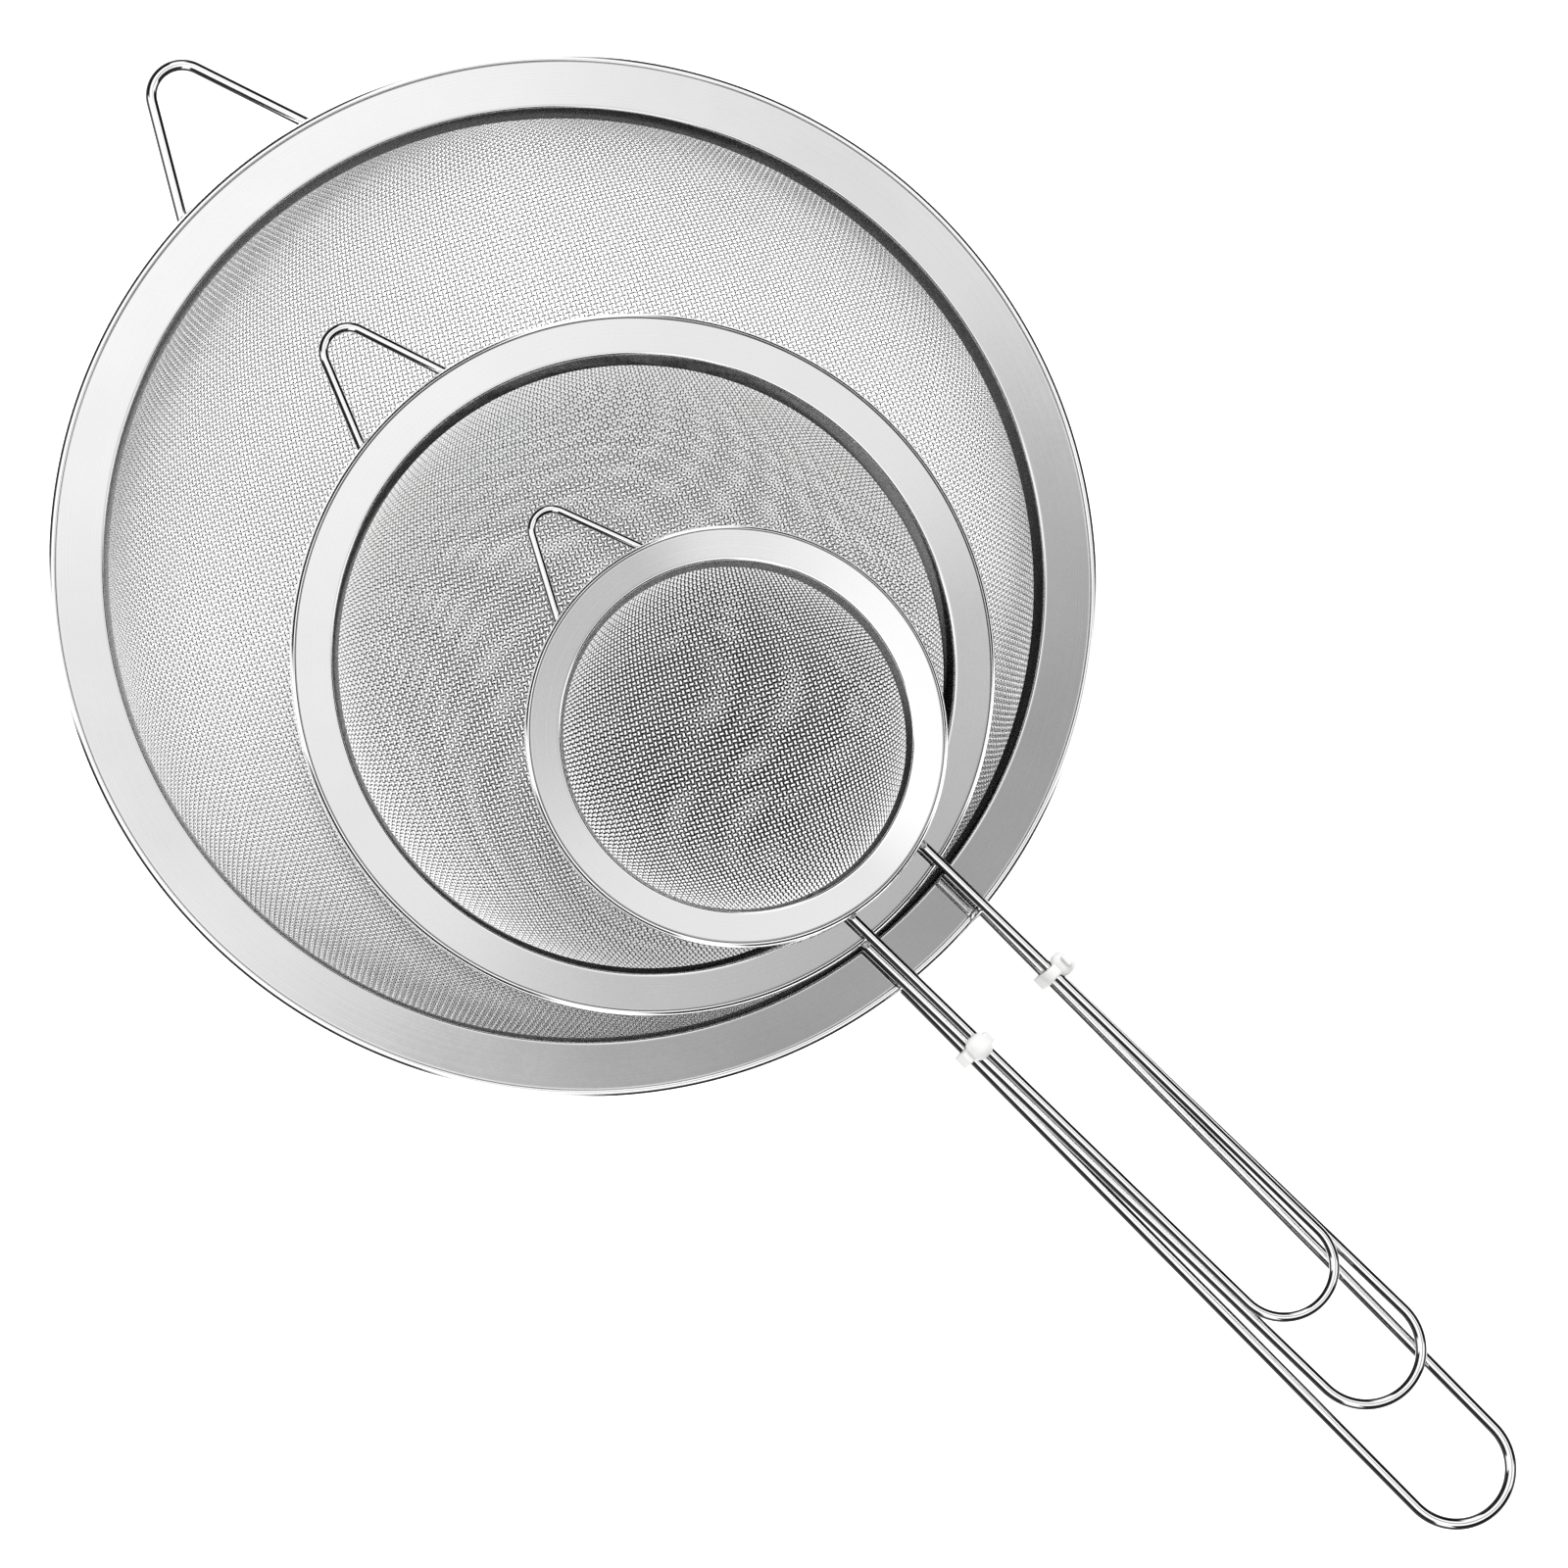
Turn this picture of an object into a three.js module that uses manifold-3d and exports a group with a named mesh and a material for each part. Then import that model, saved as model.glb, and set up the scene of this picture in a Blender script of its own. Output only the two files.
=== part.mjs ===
// Nesting set of three fine-mesh strainers held together by two cable ties.
// Millimetres, +X along the handles, +Z up, origin under the middle of the largest bowl.

import * as THREE from 'three';
import { mergeVertices } from 'three/addons/utils/BufferGeometryUtils.js';
import Module from 'manifold-3d';

const wasm = await Module();
wasm.setup();

// ---- Driving dimensions ----------------------------------------------------

const REST_GAP = 0.35;      // space left between pieces that rest on each other
const TRAP_GAP = 0.2;       // space left between the layers that trap the cloth
const CLOTH_THICKNESS = 0.5;
const CLAMP_THICKNESS = 0.6;
const FLANGE_BEND = 0.9;    // radius of the bend from flange to lip
const RING_SEGMENTS = 48;
const HALF_TURN = Math.PI;
const degrees = THREE.MathUtils.degToRad;

const TIE_X = 116.8;        // where the two cable ties hold the handle legs
const HANDLE_YAW = degrees(1.8);

// baseShare is the radius of a bowl's flat middle over the radius at the top of its wall.
const LARGE = {
  size: 'large',
  centreX: 0, centreY: 0,
  depth: 74, baseShare: 0.25, rimRadius: 100, openingRadius: 89.4, lipRadius: 88.1, lipDepth: 4.2,
  sheet: 0.5, beadRadius: 1.15, hemRadius: 0.45,
  wireRadius: 1.2, halfGrip: 10.7, handleEnd: 247.6, handleYaw: 0, handleSlope: 0, gripY: 0,
  hookRadius: 1.15, hookAngle: degrees(174.5), hookReach: 123.1, hookHalf: 15.1, hookBend: 6.0,
};

const MEDIUM = {
  size: 'medium',
  centreX: 21.3, centreY: -4.1,
  depth: 52, baseShare: 0.2, rimRadius: 67, openingRadius: 59.0, lipRadius: 57.5, lipDepth: 3.6,
  sheet: 0.45, beadRadius: 1.0, hemRadius: 0.35,
  wireRadius: 1.1, halfGrip: 10.7, handleEnd: 219.5, handleYaw: HANDLE_YAW,
  handleSlope: degrees(1.25), gripY: 0.2,
  hookRadius: 0.95, hookAngle: degrees(178.5), hookReach: 85.7, hookHalf: 10.7, hookBend: 4.8,
};

const SMALL = {
  size: 'small',
  centreX: 43.3, centreY: -2.3,
  depth: 34, baseShare: 0.2, rimRadius: 40.2, openingRadius: 33.4, lipRadius: 32.5, lipDepth: 3.0,
  sheet: 0.4, beadRadius: 0.9, hemRadius: 0.3,
  wireRadius: 1.0, halfGrip: 9.75, handleEnd: 196.4, handleYaw: HANDLE_YAW,
  handleSlope: degrees(2.5), gripY: 0.2,
  hookRadius: 0.8, hookAngle: degrees(176.6), hookReach: 56.0, hookHalf: 10.5, hookBend: 4.0,
};

// A handle leg rests on the rim below it, and its own bead rests on the leg.
LARGE.rimTop = LARGE.depth;
LARGE.legHeight = LARGE.rimTop - 2 * LARGE.beadRadius - REST_GAP - LARGE.wireRadius;
stackOn(MEDIUM, LARGE);
stackOn(SMALL, MEDIUM);

const TIE = { strapWidth: 2.8, strapThickness: 1.1, clearance: 0.3 };

// Locks, placed from the middle of the top wire. aside is along Y and above is along Z.
// The left one sits on the upper outer corner of its loop, with the strap's cut end upward.
const LEFT_LOCK = {
  headAside: 2.35, headAbove: 0.75, headSize: [4.8, 4.2, 4.2],
  stubAside: 0.4, stubAbove: 2.1, stubSize: [2.4, 1.0, 2.4],
};

// The right one sits on top of its loop, with the cut end outward.
const RIGHT_LOCK = {
  headAside: -1.2, headAbove: 2.35, headSize: [4.8, 4.6, 4.2],
  stubAside: -2.3, stubAbove: -0.5, stubSize: [2.4, 2.4, 1.0],
};

// ---- Materials ---------------------------------------------------------------

const steel = (color, roughness) => () =>
  new THREE.MeshStandardMaterial({ color, roughness, metalness: 1 });
const polishedSteel = steel(0xdcdddf, 0.16);
const clothSteel = steel(0xb9bcc0, 0.34);
const wireSteel = steel(0xd2d4d6, 0.2);
const whiteNylon = () =>
  new THREE.MeshStandardMaterial({ color: 0xf4f5f3, roughness: 0.45, metalness: 0 });

// ---- Placing ------------------------------------------------------------------

function stackOn(upper, lower) {
  const lowerEdge = lower.centreX + lower.rimRadius;
  const upperEdge = upper.centreX + upper.rimRadius;
  const fall = Math.tan(upper.handleSlope);
  const legOverLowerEdge = lower.rimTop + REST_GAP + upper.wireRadius;
  upper.legHeight = legOverLowerEdge + (lowerEdge - upperEdge) * fall;
  upper.rimTop = upper.legHeight + upper.wireRadius + REST_GAP + 2 * upper.beadRadius;
}

// Height of a handle leg's centre line above a given x.
function legZ(s, x) {
  return s.legHeight - (x - s.centreX - s.rimRadius) * Math.tan(s.handleSlope);
}

// Middle of the handle, between its two legs, at a given x.
function gripMiddle(s, x) {
  return s.gripY + (x - TIE_X) * Math.tan(s.handleYaw);
}

function atRim(s, mesh) {
  mesh.position.set(s.centreX, s.centreY, s.rimTop);
  return mesh;
}

// ---- Shared shape helpers --------------------------------------------------

const flat = (x, y) => new THREE.Vector2(x, y);

// Unit vector to the right of travel at each point of a line, mitred at corners.
function rightHand(path) {
  return path.map((point, i) => {
    const before = path[Math.max(i - 1, 0)];
    const after = path[Math.min(i + 1, path.length - 1)];
    const into = flat(0, 0).subVectors(point, before).normalize();
    const outOf = flat(0, 0).subVectors(after, point).normalize();
    if (i === 0) into.copy(outOf);
    if (i === path.length - 1) outOf.copy(into);
    const mean = into.clone().add(outOf).normalize();
    const stretch = 1 / mean.dot(into);
    return flat(mean.y, -mean.x).multiplyScalar(stretch);
  });
}

function offsetRight(path, distance) {
  const side = rightHand(path);
  return path.map((point, i) => point.clone().addScaledVector(side[i], distance));
}

// Turns a closed section around the Z axis; the section lists (radius, height) anticlockwise.
function turned(section, onAxis = false) {
  const outline = onAxis ? section : [...section, section[0].clone()];
  const geometry = new THREE.LatheGeometry(outline, RING_SEGMENTS);
  return geometry.rotateX(HALF_TURN / 2);
}

function circlePoints(radius, count, middle = flat(0, 0)) {
  return Array.from({ length: count }, (_, i) => {
    const angle = (2 * HALF_TURN * i) / count;
    return flat(middle.x + radius * Math.cos(angle), middle.y + radius * Math.sin(angle));
  });
}

function arcPoints(middle, radius, from, to, steps) {
  return Array.from({ length: steps + 1 }, (_, i) => {
    const angle = from + ((to - from) * i) / steps;
    return flat(middle.x + radius * Math.cos(angle), middle.y + radius * Math.sin(angle));
  });
}

// A line that visits its stations and nothing between them, so straight runs stay cheap.
class StationPath extends THREE.Curve {
  constructor(stations) {
    super();
    this.stations = stations;
  }

  indexAt(u) {
    return Math.round(u * (this.stations.length - 1));
  }

  getPointAt(u, target = new THREE.Vector3()) {
    return target.copy(this.stations[this.indexAt(u)]);
  }

  getTangentAt(u, target = new THREE.Vector3()) {
    const last = this.stations.length - 1;
    const i = this.indexAt(u);
    const here = this.stations[i];
    const into = here.clone().sub(this.stations[Math.max(i - 1, 0)]).normalize();
    const outOf = this.stations[Math.min(i + 1, last)].clone().sub(here).normalize();
    return target.addVectors(into, outOf).normalize();
  }
}

function wireAlong(stations, radius, sides) {
  const section = new THREE.Shape(circlePoints(radius, sides));
  const extrudePath = new StationPath(stations);
  const steps = stations.length - 1;
  return new THREE.ExtrudeGeometry(section, { steps, extrudePath, bevelEnabled: false });
}

function named(name, geometry, material) {
  const mesh = new THREE.Mesh(geometry, material());
  mesh.name = name;
  return mesh;
}

// ---- Rim, hem wire, clamp ring and bowl ---------------------------------------

// The lip is a cone that falls from the opening to the lip radius.
function lipCone(s) {
  const run = s.openingRadius - s.lipRadius;
  const fall = s.lipDepth - FLANGE_BEND;
  return { perDepth: run / fall, widen: Math.hypot(run, fall) / fall };
}

// Radius of a layer behind the lip, a given distance from the lip's visible face.
function behindLip(s, distance, depth) {
  const cone = lipCone(s);
  return s.lipRadius + (s.lipDepth - depth) * cone.perDepth + distance * cone.widen;
}

function rimBand(s) {
  const beadMiddle = flat(s.rimRadius - s.beadRadius, -s.beadRadius);
  const bend = flat(s.openingRadius + 0.35 * FLANGE_BEND, -0.3 * FLANGE_BEND);
  const face = [
    flat(s.lipRadius, -s.lipDepth),
    flat(s.openingRadius, -FLANGE_BEND),
    bend,
    flat(s.openingRadius + FLANGE_BEND, 0),
    ...arcPoints(beadMiddle, s.beadRadius, HALF_TURN / 2, -0.97 * HALF_TURN, 6),
  ];
  const back = offsetRight(face, s.sheet);
  const section = [...face, ...back.reverse()].reverse();
  return atRim(s, named(`${s.size}_rim_band`, turned(section), polishedSteel));
}

function hemWire(s) {
  const middle = flat(s.rimRadius - s.beadRadius, -s.beadRadius);
  const section = circlePoints(s.hemRadius, 6, middle);
  return atRim(s, named(`${s.size}_hem_wire`, turned(section), wireSteel));
}

function clampRing(s) {
  const inner = s.sheet + TRAP_GAP + CLOTH_THICKNESS + TRAP_GAP;
  const outer = inner + CLAMP_THICKNESS;
  const top = s.sheet + 2 * REST_GAP;
  const section = [
    flat(behindLip(s, inner, s.lipDepth), -s.lipDepth),
    flat(behindLip(s, outer, s.lipDepth), -s.lipDepth),
    flat(behindLip(s, outer, top), -top),
    flat(behindLip(s, inner, top), -top),
  ];
  return atRim(s, named(`${s.size}_clamp_ring`, turned(section), polishedSteel));
}

// Underside of the cloth: flat middle, elliptical wall, then the skirt behind the lip.
function bowlUnderside(s) {
  const wallRadius = behindLip(s, s.sheet + TRAP_GAP + CLOTH_THICKNESS, s.lipDepth);
  const wallDepth = s.depth - s.lipDepth;
  const flatAngle = Math.acos(s.baseShare);
  const wallSteps = 7;
  const wall = Array.from({ length: wallSteps + 1 }, (_, i) => {
    const angle = flatAngle * (1 - i / wallSteps);
    const sink = (wallDepth * Math.sin(angle)) / Math.sin(flatAngle);
    return flat(wallRadius * Math.cos(angle), -s.lipDepth - sink);
  });
  const skirtTop = s.sheet + REST_GAP;
  const skirt = flat(behindLip(s, s.sheet + TRAP_GAP + CLOTH_THICKNESS, skirtTop), -skirtTop);
  return [flat(0, -s.depth), ...wall, skirt];
}

function meshBowl(s) {
  const underside = bowlUnderside(s);
  const inside = offsetRight(underside, -CLOTH_THICKNESS);
  inside[0].x = 0;
  const section = [...underside, ...inside.reverse()];
  return atRim(s, named(`${s.size}_mesh_bowl`, turned(section, true), clothSteel));
}

// ---- Handle wire and rest hook ---------------------------------------------------

// Radius at which the welded ends of the wires stop, just clear of the clamp ring.
function rootRadius(s, wireRadius, wireDepth) {
  const stack = s.sheet + CLOTH_THICKNESS + 2 * TRAP_GAP + CLAMP_THICKNESS;
  const depth = Math.min(wireDepth - wireRadius, s.lipDepth);
  return behindLip(s, stack + REST_GAP, depth);
}

function handleWire(s) {
  const wireDepth = s.rimTop - legZ(s, s.centreX + s.rimRadius);
  const rootX = s.centreX + rootRadius(s, s.wireRadius, wireDepth);
  const bendX = s.handleEnd - s.halfGrip;
  const place = (x, across) => {
    const middle = gripMiddle(s, x);
    return new THREE.Vector3(x, middle + across, legZ(s, x));
  };
  const bendSteps = 12;
  const bend = arcPoints(flat(bendX, 0), s.halfGrip, HALF_TURN / 2, -HALF_TURN / 2, bendSteps);
  const stations = [
    place(rootX, s.halfGrip),
    ...bend.map((point) => place(point.x, point.y)),
    place(rootX, -s.halfGrip),
  ];
  return named(`${s.size}_handle_wire`, wireAlong(stations, s.wireRadius, 10), wireSteel);
}

function restHook(s) {
  const wireDepth = 2 * s.beadRadius + REST_GAP + s.hookRadius;
  const foot = flat(Math.sqrt(s.rimRadius ** 2 - s.hookHalf ** 2), s.hookHalf);
  const bendMiddle = flat(s.hookReach - s.hookBend, 0);
  const toFoot = foot.clone().sub(bendMiddle);
  const touch = toFoot.angle() - Math.acos(s.hookBend / toFoot.length());
  const bend = arcPoints(bendMiddle, s.hookBend, touch, -touch, 8);
  const along = bend[0].clone().sub(foot).normalize();
  const inward = s.rimRadius - rootRadius(s, s.hookRadius, wireDepth);
  const root = foot.clone().addScaledVector(along, -inward / along.x);
  const outline = [root, ...bend, flat(root.x, -root.y)];
  const stations = outline.map((point) => new THREE.Vector3(point.x, point.y, -wireDepth));
  const mesh = named(`${s.size}_rest_hook`, wireAlong(stations, s.hookRadius, 8), wireSteel);
  mesh.rotation.z = s.hookAngle;
  return atRim(s, mesh);
}

// ---- Cable ties -----------------------------------------------------------------

// Convex outline around circles given as { middle, radius }.
function outlineAround(circles, spare) {
  const points = circles.flatMap((c) => circlePoints(c.radius + spare, 16, c.middle));
  points.sort((a, b) => a.x - b.x || a.y - b.y);
  const turn = (a, b, c) => (b.x - a.x) * (c.y - a.y) - (b.y - a.y) * (c.x - a.x);
  const chain = (list) => {
    const hull = [];
    for (const point of list) {
      while (hull.length > 1 && turn(hull.at(-2), hull.at(-1), point) <= 1e-9) hull.pop();
      hull.push(point);
    }
    hull.pop();
    return hull;
  };
  return [...chain(points), ...chain([...points].reverse())];
}

// Prism along X over an outline drawn in Y and Z, centred on the ties.
function prismOverTie(outline, width) {
  const shape = new THREE.Shape(outline);
  const geometry = new THREE.ExtrudeGeometry(shape, { depth: width, bevelEnabled: false });
  geometry.translate(0, 0, -width / 2);
  const axes = new THREE.Matrix4().makeBasis(
    new THREE.Vector3(0, 1, 0),
    new THREE.Vector3(0, 0, 1),
    new THREE.Vector3(1, 0, 0),
  );
  return geometry.applyMatrix4(axes).translate(TIE_X, 0, 0);
}

function boxAt(sizes, middle) {
  return new THREE.BoxGeometry(...sizes).translate(...middle);
}

function toSolid(geometry) {
  const bare = geometry.clone();
  bare.deleteAttribute('uv');
  bare.deleteAttribute('normal');
  const merged = mergeVertices(bare, 1e-5);
  const mesh = new wasm.Mesh({
    numProp: 3,
    vertProperties: new Float32Array(merged.attributes.position.array),
    triVerts: new Uint32Array(merged.index.array),
  });
  return new wasm.Manifold(mesh);
}

function fromSolid(solid) {
  const mesh = solid.getMesh();
  const geometry = new THREE.BufferGeometry();
  geometry.setAttribute('position', new THREE.BufferAttribute(mesh.vertProperties, 3));
  geometry.setIndex(new THREE.BufferAttribute(mesh.triVerts, 1));
  geometry.computeVertexNormals();
  return geometry;
}

function cableTie(name, side, lock) {
  const legs = [LARGE, MEDIUM, SMALL].map((s) => ({
    middle: flat(gripMiddle(s, TIE_X) + side * s.halfGrip, legZ(s, TIE_X)),
    radius: s.wireRadius,
  }));
  const opening = outlineAround(legs, TIE.clearance);
  const loop = outlineAround(legs, TIE.clearance + TIE.strapThickness);
  const topWire = legs[2].middle;
  const headY = topWire.x + lock.headAside;
  const headZ = topWire.y + lock.headAbove;
  const head = boxAt(lock.headSize, [TIE_X, headY, headZ]);
  const stub = boxAt(lock.stubSize, [TIE_X, headY + lock.stubAside, headZ + lock.stubAbove]);
  const body = toSolid(prismOverTie(loop, TIE.strapWidth)).add(toSolid(head)).add(toSolid(stub));
  const solid = body.subtract(toSolid(prismOverTie(opening, 2 * lock.headSize[0])));
  return named(name, fromSolid(solid), whiteNylon);
}

// ---- Assembly ---------------------------------------------------------------------

function strainer(s) {
  const group = new THREE.Group();
  group.add(rimBand(s), hemWire(s), clampRing(s), meshBowl(s), handleWire(s), restHook(s));
  return group;
}

const set = new THREE.Group();
set.add(strainer(LARGE), strainer(MEDIUM), strainer(SMALL));
set.add(cableTie('left_cable_tie', 1, LEFT_LOCK), cableTie('right_cable_tie', -1, RIGHT_LOCK));

export default set;
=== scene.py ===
"""Nesting set of three fine-mesh strainers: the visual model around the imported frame.

Metres, +X along the handles, +Z up. Each piece is built about its own strainer's axis at the
height of its rim, so that object coordinates in a material are coordinates about that axis.
"""

import math

import bpy
import numpy as np
from mathutils import Matrix, Vector


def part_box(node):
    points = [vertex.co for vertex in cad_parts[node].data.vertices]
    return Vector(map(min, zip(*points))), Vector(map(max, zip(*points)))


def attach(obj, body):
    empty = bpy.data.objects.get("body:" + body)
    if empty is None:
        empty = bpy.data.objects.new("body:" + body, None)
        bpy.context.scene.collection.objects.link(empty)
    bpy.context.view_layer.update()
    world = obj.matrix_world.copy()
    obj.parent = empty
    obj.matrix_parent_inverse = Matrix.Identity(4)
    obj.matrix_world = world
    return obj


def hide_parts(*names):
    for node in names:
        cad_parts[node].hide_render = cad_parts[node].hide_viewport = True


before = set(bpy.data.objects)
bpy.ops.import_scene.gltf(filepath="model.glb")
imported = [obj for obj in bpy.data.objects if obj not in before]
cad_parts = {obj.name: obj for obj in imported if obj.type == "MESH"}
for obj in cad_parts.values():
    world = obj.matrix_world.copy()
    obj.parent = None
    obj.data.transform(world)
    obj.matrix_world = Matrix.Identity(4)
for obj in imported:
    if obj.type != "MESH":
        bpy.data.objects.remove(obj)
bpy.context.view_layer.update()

MM = 0.001

# ---- Driving dimensions, in millimetres ----

REST_GAP = 0.35          # space between pieces that rest on each other
TRAP_GAP = 0.2           # space between the layers that trap the cloth
CLOTH_THICKNESS = 0.5
CLAMP_THICKNESS = 0.6
CLAMP_ROUNDING = 0.15
FLANGE_BEND = 0.9        # radius of the bend from flange to lip
BEND_ROUNDING = 0.5      # the tighter bend that shows on the polished face
GROOVE_DEPTH = 0.2       # notch between the flange and its rolled bead
EDGE_ROUNDING = 0.12     # how far a cut sheet edge is broken

CLOTH_PITCH = 1.0        # distance between two neighbouring wires of the cloth
CLOTH_CRIMP = 0.17       # how far a wire weaves to either side of the middle
CLOTH_WANDER = 0.22      # how far the wires stray from their straight rows
NORMAL_STEP = 1.2        # distance either side over which the cloth's slope is taken
WOVEN_SIDES = 4          # corners of a woven wire's section
WIRE_END_ROUNDING = 0.35  # of the radius of a handle or hook wire, at its cut ends
SHARP_TURN = 1.2         # radians; a section's corner that turns more than this gets a small bend

TURN_STEPS = 360         # segments round a rim
CLAMP_STEPS = 720
LEG_STEPS = 69           # segments along a handle's leg
WELD_SPACING = 11.0      # distance between spot welds round a clamp ring
WELD_SIZE = 1.3
WELD_SINK = 0.22
BEAD_NUGGET = (1.5, 0.95, 0.55)     # half sizes of the weld nuggets, along, across and upward
CLAMP_NUGGET = (0.75, 1.25, 0.95)

# base_share is the radius of a bowl's flat middle over that at the top of its wall, and
# flange_fall is how much lower the flange's outer edge is than its inner one.
STRAINERS = {
    "large": dict(
        opening=89.4, lip=88.1, lip_depth=4.2, sheet=0.5, bead=1.15, hem=0.45, base_share=0.25,
        edge_band=1.6, flange_fall=0.37, wire=1.2, half_grip=10.7, yaw=0.0, slope=0.0,
        hook_wire=1.15, hook_angle=174.5, hook_reach=123.1, hook_half=15.1, hook_bend=6.0,
        cloth_angle=65.5, cloth_cuts=(-1, -0.27, 0.27, 1), cloth_wire=0.165,
    ),
    "medium": dict(
        opening=59.0, lip=57.5, lip_depth=3.6, sheet=0.45, bead=1.0, hem=0.35, base_share=0.2,
        edge_band=1.0, flange_fall=0.16, wire=1.1, half_grip=10.7, yaw=1.8, slope=1.25,
        hook_wire=0.95, hook_angle=178.5, hook_reach=85.7, hook_half=10.7, hook_bend=4.8,
        cloth_angle=62.5, cloth_cuts=(-1, 0, 1), cloth_wire=0.185,
    ),
    "small": dict(
        opening=33.4, lip=32.5, lip_depth=3.0, sheet=0.4, bead=0.9, hem=0.3, base_share=0.2,
        edge_band=0.95, flange_fall=-0.178, wire=1.0, half_grip=9.75, yaw=1.8, slope=2.5,
        hook_wire=0.8, hook_angle=176.6, hook_reach=56.0, hook_half=10.5, hook_bend=4.0,
        cloth_angle=63.7, cloth_cuts=(-1, 1), cloth_wire=0.205,
    ),
}

ANGLES = ("yaw", "slope", "hook_angle", "cloth_angle")
SHARES = ("base_share", "cloth_cuts")

TIE_STRAP_WIDTH = 2.8
TIE_STRAP_THICKNESS = 1.1
TIE_CLEARANCE = 0.3
TIE_EDGE_ROUNDING = 0.42
TIE_HEAD_ROUNDING = 1.9
TIE_TAIL_ROUNDING = 0.18
TIE_TEETH_PITCH = 0.55
TIE_TEETH_HEIGHT = 0.1
TIE_WAIST = 0.2          # how much narrower the strap is where it is pulled over the top wire

# Heads and cut tails: sizes along X, Y and Z, and places in Y and Z from the top wire's middle.
TIES = {
    "left_cable_tie": dict(
        side=1, head_size=(4.8, 4.2, 4.2), head=(2.35, 0.75), tail_size=(2.3, 0.95, 2.3),
        tail=(2.75, 2.85),
    ),
    "right_cable_tie": dict(
        side=-1, head_size=(4.8, 4.6, 4.2), head=(-1.2, 2.35), tail_size=(2.3, 2.3, 0.95),
        tail=(-3.5, 1.85),
    ),
}

# The camera looks down on the set from a little to the -Y side, turned so that the
# handles run to the lower right of the picture.
CAMERA_AZIMUTH = 0.7
CAMERA_ELEVATION = 77.6
CAMERA_ROLL = 44.7
CAMERA_DISTANCE = 2.090
CAMERA_LENS = 254.5
CAMERA_TARGET = (0.05594, -0.00034, 0.074)

DOME_LIGHT = 1.0         # what the soft dome gives to plain surfaces
SKY = 1.1                # what polished metal sees in most of the dome
FLANGE_SHADE = 0.27      # how much darker the part of the dome is that the flanges mirror
DARK_BAND = 0.02         # what is left of the dome behind the dark flags
BACKDROP = 0.95
SOFTBOX_PLACE = (-0.9, 0.5, 2.0)
SOFTBOX_SIZE = 1.6
SOFTBOX_POWER = 45.0

# Directions in the dome, as parts of a unit vector; each pair is where a soft edge starts and ends.
WINDOW_FRONT = (0.05, 0.10)
WINDOW_BACK = (0.34, 0.39)
WINDOW_SIDES = (0.24, 0.30)
WINDOW_BOTTOM = (0.80, 0.86)
FLAGS_TOP = (0.72, 0.80)
FLAGS_SIDES = (0.205, 0.235)         # of x * x * y * y over the fourth power of the level part
CARDS = (                            # low value, high value, and the x where each holds
    (0.0, 0.31, 0.0, 0.024),
    (0.0, 0.13, 0.058, 0.074),
)
LAMPS = (
    (0.15, 0.0, -0.115, -0.075),
    (0.16, 0.0, -0.155, -0.13),
)

COVERED_LARGE = 0.45     # painted shade: share of its brightness the cloth keeps under the next bowl
COVERED_MEDIUM = 0.10
COVERED_TWICE = 0.3
COVER_LEAN = 0.14        # how far the painted shade's column moves toward +Y for each unit of depth
COVER_SPREAD = 1.12      # its radius over that of the opening above it
CREST_TOP = (0.62, 0.9)  # heights on a woven wire between which its painted glint comes up
FLANK_START = (0.13, 0.23)   # how far a wire's flank turns away where its painted dark reflection starts
FLANK_END = (0.52, 0.72)     # and where that painted dark fades to its last quarter
FLANK_REST = 0.25
RIM_ROUGHNESS = (0.07, 0.12)
SPIN_LINES = 5200.0      # fine circular lines over a metre of a rim's radius
TONE_RANGE = (0.35, 0.65)            # of a noise's values, over which one tone turns to another
FINISH_RANGE = (0.3, 0.7)            # and over which the roughness changes
LIP_SHADE_TONES = (0.24, 0.02)             # painted shade on the lip, away from the handle and next to it
LIP_RANGE = (0.35, 0.8)              # cosines of the angles from the handle where they hold
# Painted highlight on a polished flange, a glow that is no lamp: the way it faces.
HIGHLIGHT_AZIMUTH = math.radians(82)
HIGHLIGHT_EDGE = (0.07, 0.53)        # cosines of the angles where the highlight ends and is full
# Painted shadow: share of the floor's glow left under the medium and small bowls.
FLOOR_UNDER_BOWL = 0.2
FLOOR_GLOW = 0.45        # the floor is a lit white table, so it stays pale under the bowls


# ---- Mesh building ----

def build_mesh(name, points, *face_groups):
    """A smooth-shaded mesh from points and groups of faces; each group has its own width."""
    mesh = bpy.data.meshes.new(name)
    loops = np.concatenate([group.ravel() for group in face_groups]).astype(np.int32)
    widths = np.concatenate([np.full(len(group), group.shape[1]) for group in face_groups])
    starts = np.concatenate([[0], np.cumsum(widths)[:-1]]).astype(np.int32)
    mesh.vertices.add(len(points))
    mesh.vertices.foreach_set("co", np.asarray(points, np.float32).ravel())
    mesh.loops.add(len(loops))
    mesh.loops.foreach_set("vertex_index", loops)
    mesh.polygons.add(len(widths))
    mesh.polygons.foreach_set("loop_start", starts)
    mesh.polygons.foreach_set("use_smooth", np.ones(len(widths), bool))
    mesh.update(calc_edges=True)
    return mesh


def store_crest(mesh, values):
    """Keeps, for each point of a woven wire, how far it rides over the wires it crosses."""
    attribute = mesh.attributes.new("crest", "FLOAT", "POINT")
    attribute.data.foreach_set("value", np.asarray(values, np.float32))


def grid_quads(rows, columns, wrap_rows=False, wrap_columns=False, first=0):
    """Quads over a grid of points stored row by row."""
    i = np.arange(rows if wrap_rows else rows - 1)
    j = np.arange(columns if wrap_columns else columns - 1)
    i, j = (a.ravel() for a in np.meshgrid(i, j, indexing="ij"))
    down = (i + 1) % rows
    across = (j + 1) % columns
    return first + np.stack(
        [i * columns + j, down * columns + j, down * columns + across, i * columns + across], 1
    )


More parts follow.
